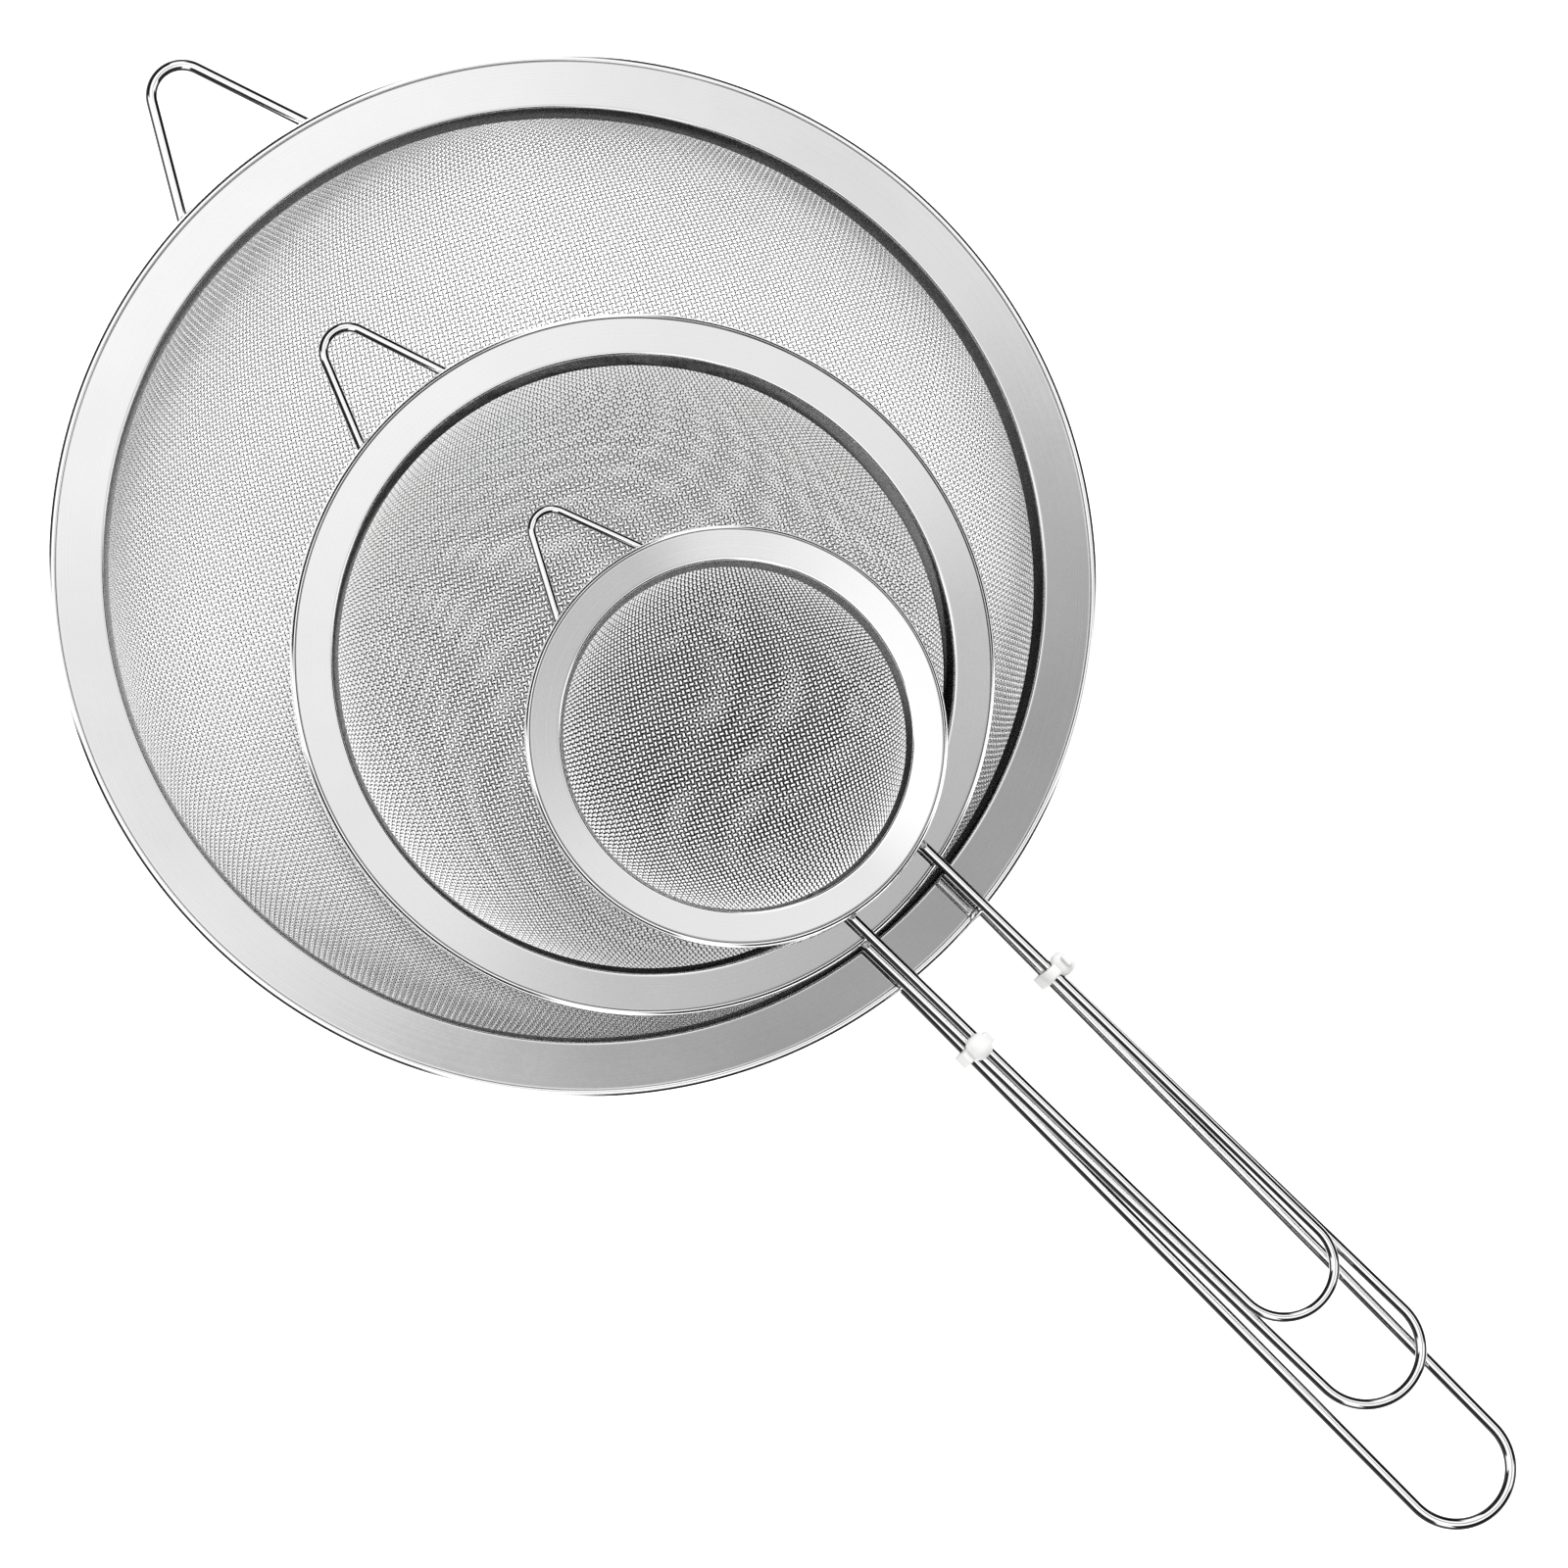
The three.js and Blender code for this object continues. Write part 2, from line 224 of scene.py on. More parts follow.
def turned(section, steps=TURN_STEPS):
    """Points and quads of a closed (radius, height) section, anticlockwise, turned round Z."""
    angle = np.linspace(0, 2 * np.pi, steps, endpoint=False)[:, None]
    radius = section[:, 0]
    height = np.broadcast_to(section[:, 1], (steps, len(section)))
    points = np.stack([radius * np.cos(angle), radius * np.sin(angle), height], -1)
    return points.reshape(-1, 3), grid_quads(steps, len(section), True, True)


def unit(vectors):
    return vectors / np.linalg.norm(vectors, axis=-1, keepdims=True)


def along(points, closed=False):
    """Unit tangents of a line of points."""
    if closed:
        return unit(np.roll(points, -1, 0) - np.roll(points, 1, 0))
    return unit(np.gradient(points, axis=0))


def rings(side, up, angle):
    """A unit circle round each point of a line, from two unit vectors square to the line."""
    return side[:, None] * np.cos(angle)[:, None] + up[:, None] * np.sin(angle)[:, None]


def rod(points, radius, sides):
    """A round wire along a line of points, with broken edges at its two cut ends."""
    tangents = along(points)
    side = unit(np.cross(tangents, (0, 0, 1)))
    up = np.cross(side, tangents)
    ease = WIRE_END_ROUNDING * radius
    turn = np.linspace(0, np.pi / 2, 5)
    shift = (ease * (1 - np.cos(turn)))[:, None]
    head = points[0] + tangents[0] * shift
    tail = points[-1] - tangents[-1] * shift
    line = np.concatenate([head, points[1:-1], tail[::-1]])
    end_radii = radius - ease + ease * np.sin(turn)
    radii = np.concatenate([end_radii, np.full(len(points) - 2, radius), end_radii[::-1]])
    copies = np.ones(len(points), int)
    copies[[0, -1]] = len(turn)
    angle = np.linspace(0, 2 * np.pi, sides, endpoint=False)
    ring = rings(np.repeat(side, copies, 0), np.repeat(up, copies, 0), angle)
    shell = (line[:, None] + ring * radii[:, None, None]).reshape(-1, 3)
    quads = grid_quads(len(line), sides, False, True)
    start = np.arange(sides)[None, :]
    end = start[:, ::-1] + (len(line) - 1) * sides
    return shell, quads, np.concatenate([start, end])


def swept_loop(path, section):
    """A closed strap: a (thickness, width) section swept round a closed path, its width along X."""
    outward = np.cross(along(path, closed=True), (1, 0, 0))
    points = path[:, None] + outward[:, None] * section[:, :1]
    points[..., 0] += section[:, 1]
    return points.reshape(-1, 3), grid_quads(len(path), len(section), True, True)


def arc(middle, radius, start, end, steps):
    angle = np.linspace(start, end, steps + 1)
    return np.stack([middle[0] + radius * np.cos(angle), middle[1] + radius * np.sin(angle)], 1)


def offset_right(path, distance):
    """A (radius, height) line moved to the right of its direction of travel."""
    steps = unit(np.diff(path, axis=0))
    into = np.concatenate([steps[:1], steps])
    out = np.concatenate([steps, steps[-1:]])
    mean = unit(into + out)
    stretch = 1 / np.sum(mean * into, axis=1, keepdims=True)
    return path + np.stack([mean[:, 1], -mean[:, 0]], 1) * stretch * distance


def softened(section, radius):
    """A closed section with each sharp corner replaced by a small bend."""
    section = np.asarray(section, float)
    before = np.roll(section, 1, 0)
    after = np.roll(section, -1, 0)
    result = []
    for corner, last, following in zip(section, before, after):
        into, out = corner - last, following - corner
        turn = abs(math.remainder(math.atan2(*out[::-1]) - math.atan2(*into[::-1]), 2 * math.pi))
        if turn < SHARP_TURN:
            result.append(corner)
            continue
        reach = min(radius, 0.4 * np.linalg.norm(into), 0.4 * np.linalg.norm(out))
        start, end = corner - reach * unit(into), corner + reach * unit(out)
        for t in np.linspace(0, 1, 5):
            result.append((1 - t) ** 2 * start + 2 * t * (1 - t) * corner + t**2 * end)
    return np.array(result)


def smooth_noise(points, scale, seed):
    """A gentle, repeatable value in -1..1 for each point."""
    value = np.zeros(len(points))
    weight = 0.0
    for octave in range(3):
        stretch = 2.1**octave / scale
        turn = seed * 1.7 + octave * 2.3
        value += 0.5**octave * (
            np.sin(points[:, 0] * stretch + turn + 1.3 * np.sin(points[:, 1] * stretch * 0.8))
            * np.cos(points[:, 1] * stretch * 1.1 - turn + np.sin(points[:, 2] * stretch + seed))
        )
        weight += 0.5**octave
    return value / weight


# ---- Node-based materials ----

def feed(tree, node, inputs):
    """Gives a node's inputs their values, or links them to other nodes' outputs."""
    for name, value in inputs.items():
        if isinstance(value, bpy.types.NodeSocket):
            tree.links.new(value, node.inputs[name])
        else:
            node.inputs[name].default_value = value


def add_node(tree, kind, inputs=None, **settings):
    node = tree.nodes.new(kind)
    for name, value in settings.items():
        setattr(node, name, value)
    feed(tree, node, inputs or {})
    return node


def math_node(tree, operation, a, b=0.0):
    return add_node(tree, "ShaderNodeMath", {0: a, 1: b}, operation=operation).outputs[0]


def times(tree, a, b):
    return math_node(tree, "MULTIPLY", a, b)


def spread(tree, value, low, high, start=0.0, end=1.0, smooth=False):
    """value, taken from start..end, mapped to low..high."""
    inputs = {"Value": value, "From Min": start, "From Max": end, "To Min": low, "To Max": high}
    kind = "SMOOTHSTEP" if smooth else "LINEAR"
    node = add_node(tree, "ShaderNodeMapRange", inputs, interpolation_type=kind)
    return node.outputs["Result"]


def mix_values(tree, factor, first, second):
    inputs = {"Factor": factor, "A": first, "B": second}
    return add_node(tree, "ShaderNodeMix", inputs, data_type="FLOAT").outputs[0]


def mix_colours(tree, factor, first, second):
    inputs = {"Factor": factor, "A": first, "B": second}
    return add_node(tree, "ShaderNodeMix", inputs, data_type="RGBA").outputs[2]


def grey(value, warmth=0.0):
    return (value * (1 + warmth), value, value * (1 - warmth), 1.0)


def mottled(tree, pattern, first, second, band=TONE_RANGE):
    """A colour that turns from first to second over a band of the pattern's values."""
    return mix_colours(tree, spread(tree, pattern, 0, 1, *band), first, second)


def new_material(name):
    material = bpy.data.materials.new(name)
    material.use_nodes = True
    tree = material.node_tree
    shader = tree.nodes["Principled BSDF"]
    coordinates = add_node(tree, "ShaderNodeTexCoord").outputs["Object"]
    return material, tree, shader, coordinates


def noise(tree, coordinates, scale, detail, stretch=None):
    if stretch is not None:
        inputs = {"Vector": coordinates, "Scale": stretch}
        coordinates = add_node(tree, "ShaderNodeMapping", inputs).outputs[0]
    inputs = {"Vector": coordinates, "Scale": scale, "Detail": detail}
    return add_node(tree, "ShaderNodeTexNoise", inputs).outputs["Fac"]


def from_axis(tree, x, y):
    """Distance of the point (x, y) from the axis."""
    flat = add_node(tree, "ShaderNodeCombineXYZ", {"X": x, "Y": y}).outputs[0]
    return add_node(tree, "ShaderNodeVectorMath", {0: flat}, operation="LENGTH").outputs["Value"]


def painted_shade_column(tree, size, covered_share):
    """Painted shade: covered_share in the column below a strainer's bowl and 1 around it, with a
    soft edge.

    The column follows that strainer when it slides. Light and sight come a little from the -Y
    side, so the column leans toward +Y on its way down.
    """
    rim = bpy.data.objects[f"{size}_rim_sheet"]
    coordinates = add_node(tree, "ShaderNodeTexCoord", object=rim).outputs["Object"]
    axes = add_node(tree, "ShaderNodeSeparateXYZ", {0: coordinates}).outputs
    y = math_node(tree, "ADD", axes["Y"], times(tree, axes["Z"], COVER_LEAN))
    distance = from_axis(tree, axes["X"], y)
    radius = COVER_SPREAD * STRAINERS[size]["opening"] * MM
    return spread(tree, distance, covered_share, 1.0, 0.92 * radius, 1.04 * radius, True)


def blend(tree, first, share, second):
    """first and second added up, with share for the first and the rest for the second."""
    return math_node(tree, "ADD", times(tree, first, share), times(tree, second, 1 - share))


def bump(tree, height, strength, depth):
    inputs = {"Height": height, "Strength": strength, "Distance": depth}
    return add_node(tree, "ShaderNodeBump", inputs).outputs[0]


def spun_steel(name, tones, roughness, lip_radius=0.0, bead_radius=1.0, seam=1.0, highlight=0.0):
    """Polished sheet with the fine circular lines left by spinning and buffing.

    Inside lip_radius, on the lip that holds the cloth, the steel is painted dark as painted shade,
    and darkest next to the handle. Outside bead_radius, on the rolled edge, it is brightest. seam
    is the tone of the fine line where the rolled edge meets the flange. highlight is a painted
    highlight: a glow for the extra light that the polished flange throws back on its +Y side.
    """
    material, tree, shader, coordinates = new_material(name)
    axes = add_node(tree, "ShaderNodeSeparateXYZ", {0: coordinates}).outputs
    radius = from_axis(tree, axes["X"], axes["Y"])
    inputs = {"W": times(tree, radius, SPIN_LINES), "Scale": 1.0, "Detail": 4.0}
    lines = add_node(tree, "ShaderNodeTexNoise", inputs, noise_dimensions="1D").outputs["Fac"]
    clouds = noise(tree, coordinates, 34.0, 4.0)
    scuffs = noise(tree, coordinates, 900.0, 2.0)
    shade = blend(tree, lines, 0.35, clouds)
    colour = mottled(tree, shade, *map(grey, tones))
    on_bead = spread(tree, radius, 0.0, 1.0, bead_radius - 0.1 * MM, bead_radius + 0.1 * MM, True)
    colour = mix_colours(tree, on_bead, colour, grey(0.99))
    from_seam = math_node(tree, "ABSOLUTE", math_node(tree, "SUBTRACT", radius, bead_radius))
    on_seam = spread(tree, from_seam, 1.0, 0.0, 0.12 * MM, 0.22 * MM, True)
    colour = mix_colours(tree, on_seam, colour, grey(seam))
    # Painted shade: the lip is painted dark, darkest next to the handle.
    inside = spread(tree, radius, 1.0, 0.0, lip_radius, lip_radius + 0.3 * MM, True)
    below = spread(tree, axes["Z"], 1.0, 0.0, -0.7 * MM, -0.3 * MM, True)
    toward_handle = math_node(tree, "DIVIDE", axes["X"], radius)
    by_handle = spread(tree, toward_handle, 0, 1, *LIP_RANGE, True)
    painted_lip_shade = mix_colours(tree, by_handle, *map(grey, LIP_SHADE_TONES))
    colour = mix_colours(tree, times(tree, inside, below), colour, painted_lip_shade)
    # Painted highlight: a glow on the flange's +Y side for the light it throws back.
    along_x = times(tree, axes["X"], math.cos(HIGHLIGHT_AZIMUTH))
    along_y = times(tree, axes["Y"], math.sin(HIGHLIGHT_AZIMUTH))
    facing = math_node(tree, "DIVIDE", math_node(tree, "ADD", along_x, along_y), radius)
    painted_glow = spread(tree, facing, 0.0, highlight, *HIGHLIGHT_EDGE, True)
    off_flange = math_node(tree, "MAXIMUM", on_bead, inside)
    painted_glow = times(tree, painted_glow, math_node(tree, "SUBTRACT", 1.0, off_flange))
    wear = blend(tree, clouds, 0.6, scuffs)
    feed(tree, shader, {
        "Base Color": colour,
        "Metallic": 1.0,
        "Roughness": spread(tree, wear, *roughness, *FINISH_RANGE),
        "Normal": bump(tree, lines, 0.12, 0.00002),
        "Emission Color": grey(1.0),
        "Emission Strength": painted_glow,
    })
    material.cycles.emission_sampling = "NONE"
    return material


def drawn_steel(name, tones, roughness, stretch, flank_depth=0.0):
    """Bright wire with faint lines along its length, left by the drawing die.

    flank_depth is the strength of a painted dark reflection on the flanks that turn away from the
    eye, as on mirror-bright wire.
    """
    material, tree, shader, coordinates = new_material(name)
    lines = noise(tree, coordinates, 1.0, 4.0, stretch)
    clouds = noise(tree, coordinates, 70.0, 3.0)
    colour = mottled(tree, clouds, *map(grey, tones))
    # Painted dark reflection on the flanks that turn away from the eye.
    turned_away = add_node(tree, "ShaderNodeLayerWeight", {"Blend": 0.5}).outputs["Facing"]
    near_edge = spread(tree, turned_away, 0.0, 1.0, *FLANK_START, True)
    painted_flank = times(tree, near_edge, spread(tree, turned_away, 1.0, FLANK_REST, *FLANK_END, True))
    colour = mix_colours(tree, times(tree, painted_flank, flank_depth), colour, grey(0.01))
    feed(tree, shader, {
        "Base Color": colour,
        "Metallic": 1.0,
        "Roughness": spread(tree, lines, *roughness, *FINISH_RANGE),
        "Normal": bump(tree, lines, 0.15, 0.00003),
    })
    return material


def cloth_steel(name, dive, rise, metallic, glint, covered):
    """Fine woven wire, bright where it rides over a crossing, with painted shade where it dives
    under.

    dive is the tone of the painted shade where it dives under, and rise is the pair of heights,
    0 to 1, between which it turns from dark to bright. glint is a painted glint: a glow at the
    very top of a crossing. covered gives, for each smaller strainer that hangs over this cloth,
    the share of its brightness that the cloth keeps there, under a painted shade.
    """
    material, tree, shader, coordinates = new_material(name)
    height = add_node(tree, "ShaderNodeAttribute", attribute_name="crest").outputs["Fac"]
    wires = noise(tree, coordinates, 1400.0, 1.0)
    pressing = noise(tree, coordinates, 24.0, 3.0)
    uneven = blend(tree, wires, 0.6, pressing)
    bright = mottled(tree, uneven, grey(0.84), grey(1.0))
    # Painted shade where the wire dives under a crossing.
    colour = mix_colours(tree, spread(tree, height, 0, 1, *rise, True), grey(dive), bright)
    # Painted glint: a glow, no lamp, on the very top of each crossing.
    top = spread(tree, height, 0.0, glint, *CREST_TOP, True)
    # Painted shade under each smaller bowl that hangs over this cloth; the glint dims there too.
    for size, share in covered.items():
        shade = painted_shade_column(tree, size, share)
        colour = mix_colours(tree, shade, grey(0.0), colour)
        top = times(tree, shade, top)
    feed(tree, shader, {
        "Base Color": colour,
        "Metallic": metallic,
        "Roughness": spread(tree, pressing, 0.32, 0.42, *TONE_RANGE),
        "Emission Color": grey(1.0),
        "Emission Strength": top,
    })
    material.cycles.emission_sampling = "NONE"
    return material


def weld_steel(name):
    """Spot-weld metal: dull, uneven, with a little straw and grey heat colour."""
    material, tree, shader, coordinates = new_material(name)
    heat = noise(tree, coordinates, 420.0, 4.0)
    grain = noise(tree, coordinates, 2600.0, 3.0)
    feed(tree, shader, {
        "Base Color": mottled(tree, heat, grey(0.46, -0.02), grey(0.70, 0.05), (0.4, 0.62)),
        "Metallic": 1.0,
        "Roughness": spread(tree, grain, 0.26, 0.48, *FINISH_RANGE),
        "Normal": bump(tree, grain, 0.35, 0.00008),
    })
    return material


def nylon(name):
    """Natural white nylon, slightly cloudy, with a fine moulded skin."""
    material, tree, shader, coordinates = new_material(name)
    clouds = noise(tree, coordinates, 260.0, 3.0)
    skin = noise(tree, coordinates, 3800.0, 2.0)
    feed(tree, shader, {
        "Base Color": mottled(tree, clouds, (0.575, 0.58, 0.57, 1), (0.60, 0.605, 0.595, 1)),
        "Roughness": spread(tree, skin, 0.36, 0.5, *FINISH_RANGE),
        "Normal": bump(tree, skin, 0.12, 0.00003),
    })
    return material


def rim_steel(size, tones, seam, highlight=0.0):
    dims = STRAINERS[size]
    low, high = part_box(f"{size}_rim_band")
    bead_radius = (high[0] - low[0]) / 2 - dims["edge_band"] * MM
    opening = dims["opening"] * MM
    name = f"{size}_rim_sheet"
    return spun_steel(name, tones, RIM_ROUGHNESS, opening, bead_radius, seam, highlight)


MATERIALS = {
    "large_rim": rim_steel("large", (0.81, 0.87), seam=0.62),
    "medium_rim": rim_steel("medium", (0.94, 0.98), seam=0.36),
    "small_rim": rim_steel("small", (0.94, 0.98), seam=0.36, highlight=0.2),
    "clamp": spun_steel("clamp_ring_sheet", (0.74, 0.84), (0.16, 0.26)),
    "wire": drawn_steel(
        "drawn_wire", (0.95, 0.99), (0.05, 0.10), stretch=(30.0, 1500.0, 1500.0), flank_depth=0.97
    ),
    "hem": drawn_steel("hem_wire", (0.62, 0.74), (0.2, 0.3), stretch=(400.0, 400.0, 1500.0)),
    "weld": weld_steel("spot_weld_metal"),
    "nylon": nylon("natural_nylon"),
}

CLOTH_LOOKS = {
    "large": dict(
        dive=0.05, rise=(0.30, 0.62), metallic=0.3, glint=0.0,
        covered={"medium": COVERED_LARGE, "small": COVERED_TWICE},
    ),
    "medium": dict(
        dive=0.0, rise=(0.36, 0.56), metallic=0.2, glint=0.48,
        covered={"small": COVERED_MEDIUM},
    ),
    "small": dict(dive=0.0, rise=(0.52, 0.66), metallic=0.45, glint=0.55, covered={}),
}


def add_object(name, data):
    new = bpy.data.objects.new(name, data)
    bpy.context.scene.collection.objects.link(new)
    return new


def add_piece(name, mesh, material, body, origin, stands_for=()):
    piece = add_object(name, mesh)
    piece.location = origin
    mesh.materials.append(MATERIALS[material])
    bpy.context.view_layer.update()
    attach(piece, body)
    if stands_for:
        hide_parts(*stands_for)


# ---- Where things are, read from the frame ----

class Strainer:
    """One strainer's dimensions in metres about its own axis, with its place from the frame."""

    def __init__(self, size, dims):
        self.size = size
        self.body = f"{size}_strainer"
        for key, value in dims.items():
            if key in ANGLES:
                value = math.radians(value)
            elif key not in SHARES:
                value *= MM
            setattr(self, key, value)
        low, high = map(np.array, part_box(f"{size}_rim_band"))
        self.rim = (high[0] - low[0]) / 2
        self.origin = np.array([(low[0] + high[0]) / 2, (low[1] + high[1]) / 2, high[2]])
        bowl_low, bowl_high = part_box(f"{size}_mesh_bowl")
        self.depth = self.origin[2] - bowl_low[2]
        self.skirt_top = self.origin[2] - bowl_high[2]
        self.handle_low, self.handle_high = map(np.array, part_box(f"{size}_handle_wire"))
        hook_low, hook_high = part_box(f"{size}_rest_hook")
        self.hook_z = (hook_low[2] + hook_high[2]) / 2 - self.origin[2]

    def behind_lip(self, distance, depth):
        """Radius of a layer behind the lip, a given distance from the lip's visible face."""
        run = self.opening - self.lip
        fall = self.lip_depth - FLANGE_BEND * MM
        widen = math.hypot(run, fall) / fall
        return self.lip + (self.lip_depth - depth) * run / fall + distance * widen

    def leg_point(self, x, across):
        """A point on the handle's middle plane, in the row frame."""
        root_x = self.handle_low[0]
        root_y = self.handle_low[1] + self.half_grip + self.wire
        root_z = self.handle_high[2] - self.wire
        run = x - root_x
        y = root_y + run * math.tan(self.yaw) + across
        return np.stack([x, y, root_z - run * math.tan(self.slope)], -1)


def add_part(s, name, material, mesh, stands_for=None):
    """One piece of a strainer, built about its axis; stands_for is the plain solid it replaces."""
    nodes = [f"{s.size}_{stands_for}"] if stands_for else []
    add_piece(f"{s.size}_{name}", mesh, material, s.body, s.origin, nodes)


# ---- Rim, hem wire and clamp ring ----

def rim_section(s):
    bead_middle = (s.rim - s.bead, -s.bead)
    bend_radius = BEND_ROUNDING * MM
    outer = s.rim - s.edge_band
    inner = s.opening + bend_radius
    inner_z = min(s.flange_fall, 0.0)
    outer_z = -max(s.flange_fall, 0.0)
    tilt = math.atan2(inner_z - outer_z, outer - inner)
    lip_tilt = math.atan2(s.lip_depth - bend_radius, s.opening - s.lip)
    bend_middle = (inner, inner_z - bend_radius)
    bend = arc(bend_middle, bend_radius, lip_tilt + math.pi / 2, math.pi / 2 - tilt, 8)
    support = 0.25 * MM
    notch = GROOVE_DEPTH * MM
    bead_start = math.acos(max(-0.9, (outer + notch - bead_middle[0]) / s.bead))
    bead = arc(bead_middle, s.bead, bead_start, math.radians(-172), 30)
    groove = [
        (outer, outer_z),
        (outer + 0.25 * notch, outer_z - 0.2 * notch),
        (outer + 0.55 * notch, outer_z - notch),
    ]
    flange = [
        (inner + support, inner_z - support * math.tan(tilt)),
        ((inner + outer) / 2, (inner_z + outer_z) / 2),
        (outer - support, outer_z + support * math.tan(tilt)),
    ]
    lip = [(s.lip, -s.lip_depth), ((s.lip + bend[0, 0]) / 2, (bend[0, 1] - s.lip_depth) / 2)]
    face = np.concatenate([lip, bend, flange, groove, bead])
    plain_start = (outer - support, outer_z - 2 * notch)
    plain_bead = arc(bead_middle, s.bead, math.radians(105), math.radians(-172), 22)
    back_line = np.concatenate([lip, bend, flange[:2], [plain_start], plain_bead])
    back = offset_right(back_line, s.sheet)
    return softened(np.concatenate([back, face[::-1]]), EDGE_ROUNDING * MM)


def add_rim(s):
    mesh = build_mesh(f"{s.size}_rim", *turned(rim_section(s)))
    add_part(s, "rim_sheet", f"{s.size}_rim", mesh, "rim_band")


def add_hem_wire(s):
    section = arc((s.rim - s.bead, -s.bead), s.hem, 0, 2 * math.pi, 16)[:-1]
    mesh = build_mesh(f"{s.size}_hem", *turned(section))
    add_part(s, "hem_core", "hem", mesh, "hem_wire")


def add_clamp_ring(s):
    """The band that traps the cloth against the lip, pressed in where it is spot welded."""
    inner = s.sheet + (2 * TRAP_GAP + CLOTH_THICKNESS) * MM
    outer = inner + CLAMP_THICKNESS * MM
    top = s.sheet + 2 * REST_GAP * MM
    depths = np.linspace(s.lip_depth, top, 9)
    outside = np.array([(s.behind_lip(outer, depth), -depth) for depth in depths])
    inside = np.array([(s.behind_lip(inner, depth), -depth) for depth in depths[::-1]])
    section = softened(np.concatenate([outside, inside]), CLAMP_ROUNDING * MM)
    points, quads = turned(section, CLAMP_STEPS)
    radius = np.hypot(points[:, 0], points[:, 1])
    welds = round(2 * math.pi * s.lip / (WELD_SPACING * MM))
    angle = np.arctan2(points[:, 1], points[:, 0]) * welds / (2 * math.pi)
    sideways = (angle - np.round(angle)) * WELD_SPACING * MM
    upwards = points[:, 2] + (s.lip_depth + top) / 2
    middle_radius = s.behind_lip((inner + outer) / 2, -points[:, 2])
    on_outside = radius > middle_radius
    dent = WELD_SINK * MM * np.exp(-(sideways**2 + upwards**2) / (WELD_SIZE * MM / 2) ** 2)
    points[:, :2] *= (1 - np.where(on_outside, dent, 0) / radius)[:, None]
    mesh = build_mesh(f"{s.size}_clamp", points, quads)
    add_part(s, "clamp_band", "clamp", mesh, "clamp_ring")


# ---- Woven cloth ----

class Bowl:
    """The middle surface of the pressed cloth, laid out by distance from its centre."""

    def __init__(self, s):
        half = CLOTH_THICKNESS * MM / 2
        layers = s.sheet + TRAP_GAP * MM + half
        radius = s.behind_lip(layers, s.lip_depth)
        flat_angle = math.acos(s.base_share)
        angle = np.linspace(flat_angle, 0, 160)
        drop = s.depth - s.lip_depth - s.cloth_wire - CLOTH_CRIMP * MM
        wall_r = radius * np.cos(angle)
        wall_z = -s.lip_depth - drop * np.sin(angle) / math.sin(flat_angle)
        skirt_z = -s.skirt_top - 2 * half
        skirt_r = s.behind_lip(layers, -skirt_z)
        base = self.rounded_base(wall_r, wall_z)
        r = np.concatenate([base[:, 0], [skirt_r]])
        z = np.concatenate([base[:, 1], [skirt_z]])
        self.distance = np.concatenate([[0], np.cumsum(np.hypot(np.diff(r), np.diff(z)))])
        self.r, self.z = r, z
        self.reach = self.distance[-1]
        self.turn = s.cloth_angle

    @staticmethod
    def rounded_base(wall_r, wall_z):
        """The flat middle, the wall, and a soft bend between them."""
        ease = 0.35 * wall_r[0]
        r = np.concatenate([np.linspace(0, wall_r[0] - ease / 6, 12), wall_r[1:]])
        z = np.concatenate([np.full(12, wall_z[0]), wall_z[1:]])
        for _ in range(3):
            z[1:-1] = (z[:-2] + 2 * z[1:-1] + z[2:]) / 4
        return np.stack([r, np.maximum(z, wall_z[0])], 1)

    def profile(self, distance):
        """Radius and height at a distance from the centre, measured along the cloth."""
        return [np.interp(distance, self.distance, values) for values in (self.r, self.z)]

    def at(self, u, v):
        """Points and upward normals where flat cloth coordinates end up on the bowl."""
        distance = np.hypot(u, v)
        angle = np.arctan2(v, u) + self.turn
        r, z = self.profile(distance)
        near_r, near_z = self.profile(distance - NORMAL_STEP * MM)
        far_r, far_z = self.profile(distance + NORMAL_STEP * MM)
        dr, dz = far_r - near_r, far_z - near_z
        length = np.hypot(dr, dz)
        nr, nz = -dz / length, dr / length
        cos, sin = np.cos(angle), np.sin(angle)
        return np.stack([r * cos, r * sin, z], -1), np.stack([nr * cos, nr * sin, nz], -1)


